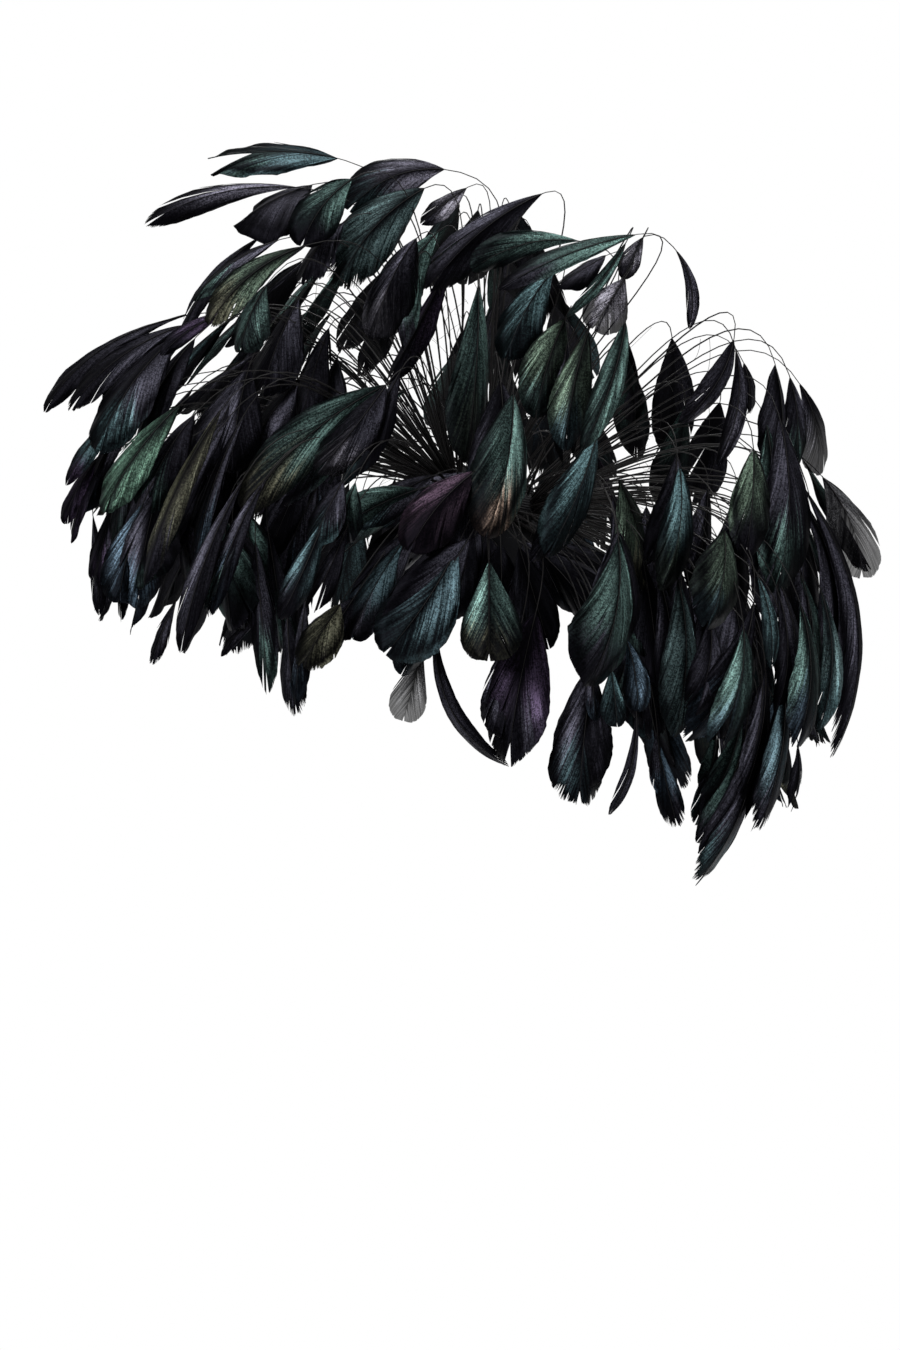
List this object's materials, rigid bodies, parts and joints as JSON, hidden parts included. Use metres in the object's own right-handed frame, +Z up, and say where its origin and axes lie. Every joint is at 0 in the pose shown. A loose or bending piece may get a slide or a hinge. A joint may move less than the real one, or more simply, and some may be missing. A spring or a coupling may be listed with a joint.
{
  "type": "fascinator",
  "caption": "Feather fascinator: bunches of bare black quills arch out from a small domed base worn on the head, each quill ending in a narrow vane with a green sheen.",
  "frame": {"origin": "middle of the underside of the felt base, where it sits on the top of the head", "axes": "+Z up as worn, -Y to the front of the wearer, +X to the wearer's left, along the widest reach of the feathers"},
  "size_m": [0.3476, 0.3099, 0.31],
  "materials": {
    "felt": "matt black wool felt",
    "comb_plastic": "moulded black plastic",
    "feather": "black cock feather with a green, blue and bronze sheen"
  },
  "bodies": {
    "root": {"base": "felt", "comb": "comb_plastic", "front_spray": "feather", "right_front_spray": "feather", "right_back_spray": "feather", "back_spray": "feather", "left_back_spray": "feather", "left_front_spray": "feather"}
  },
  "joints": []
}
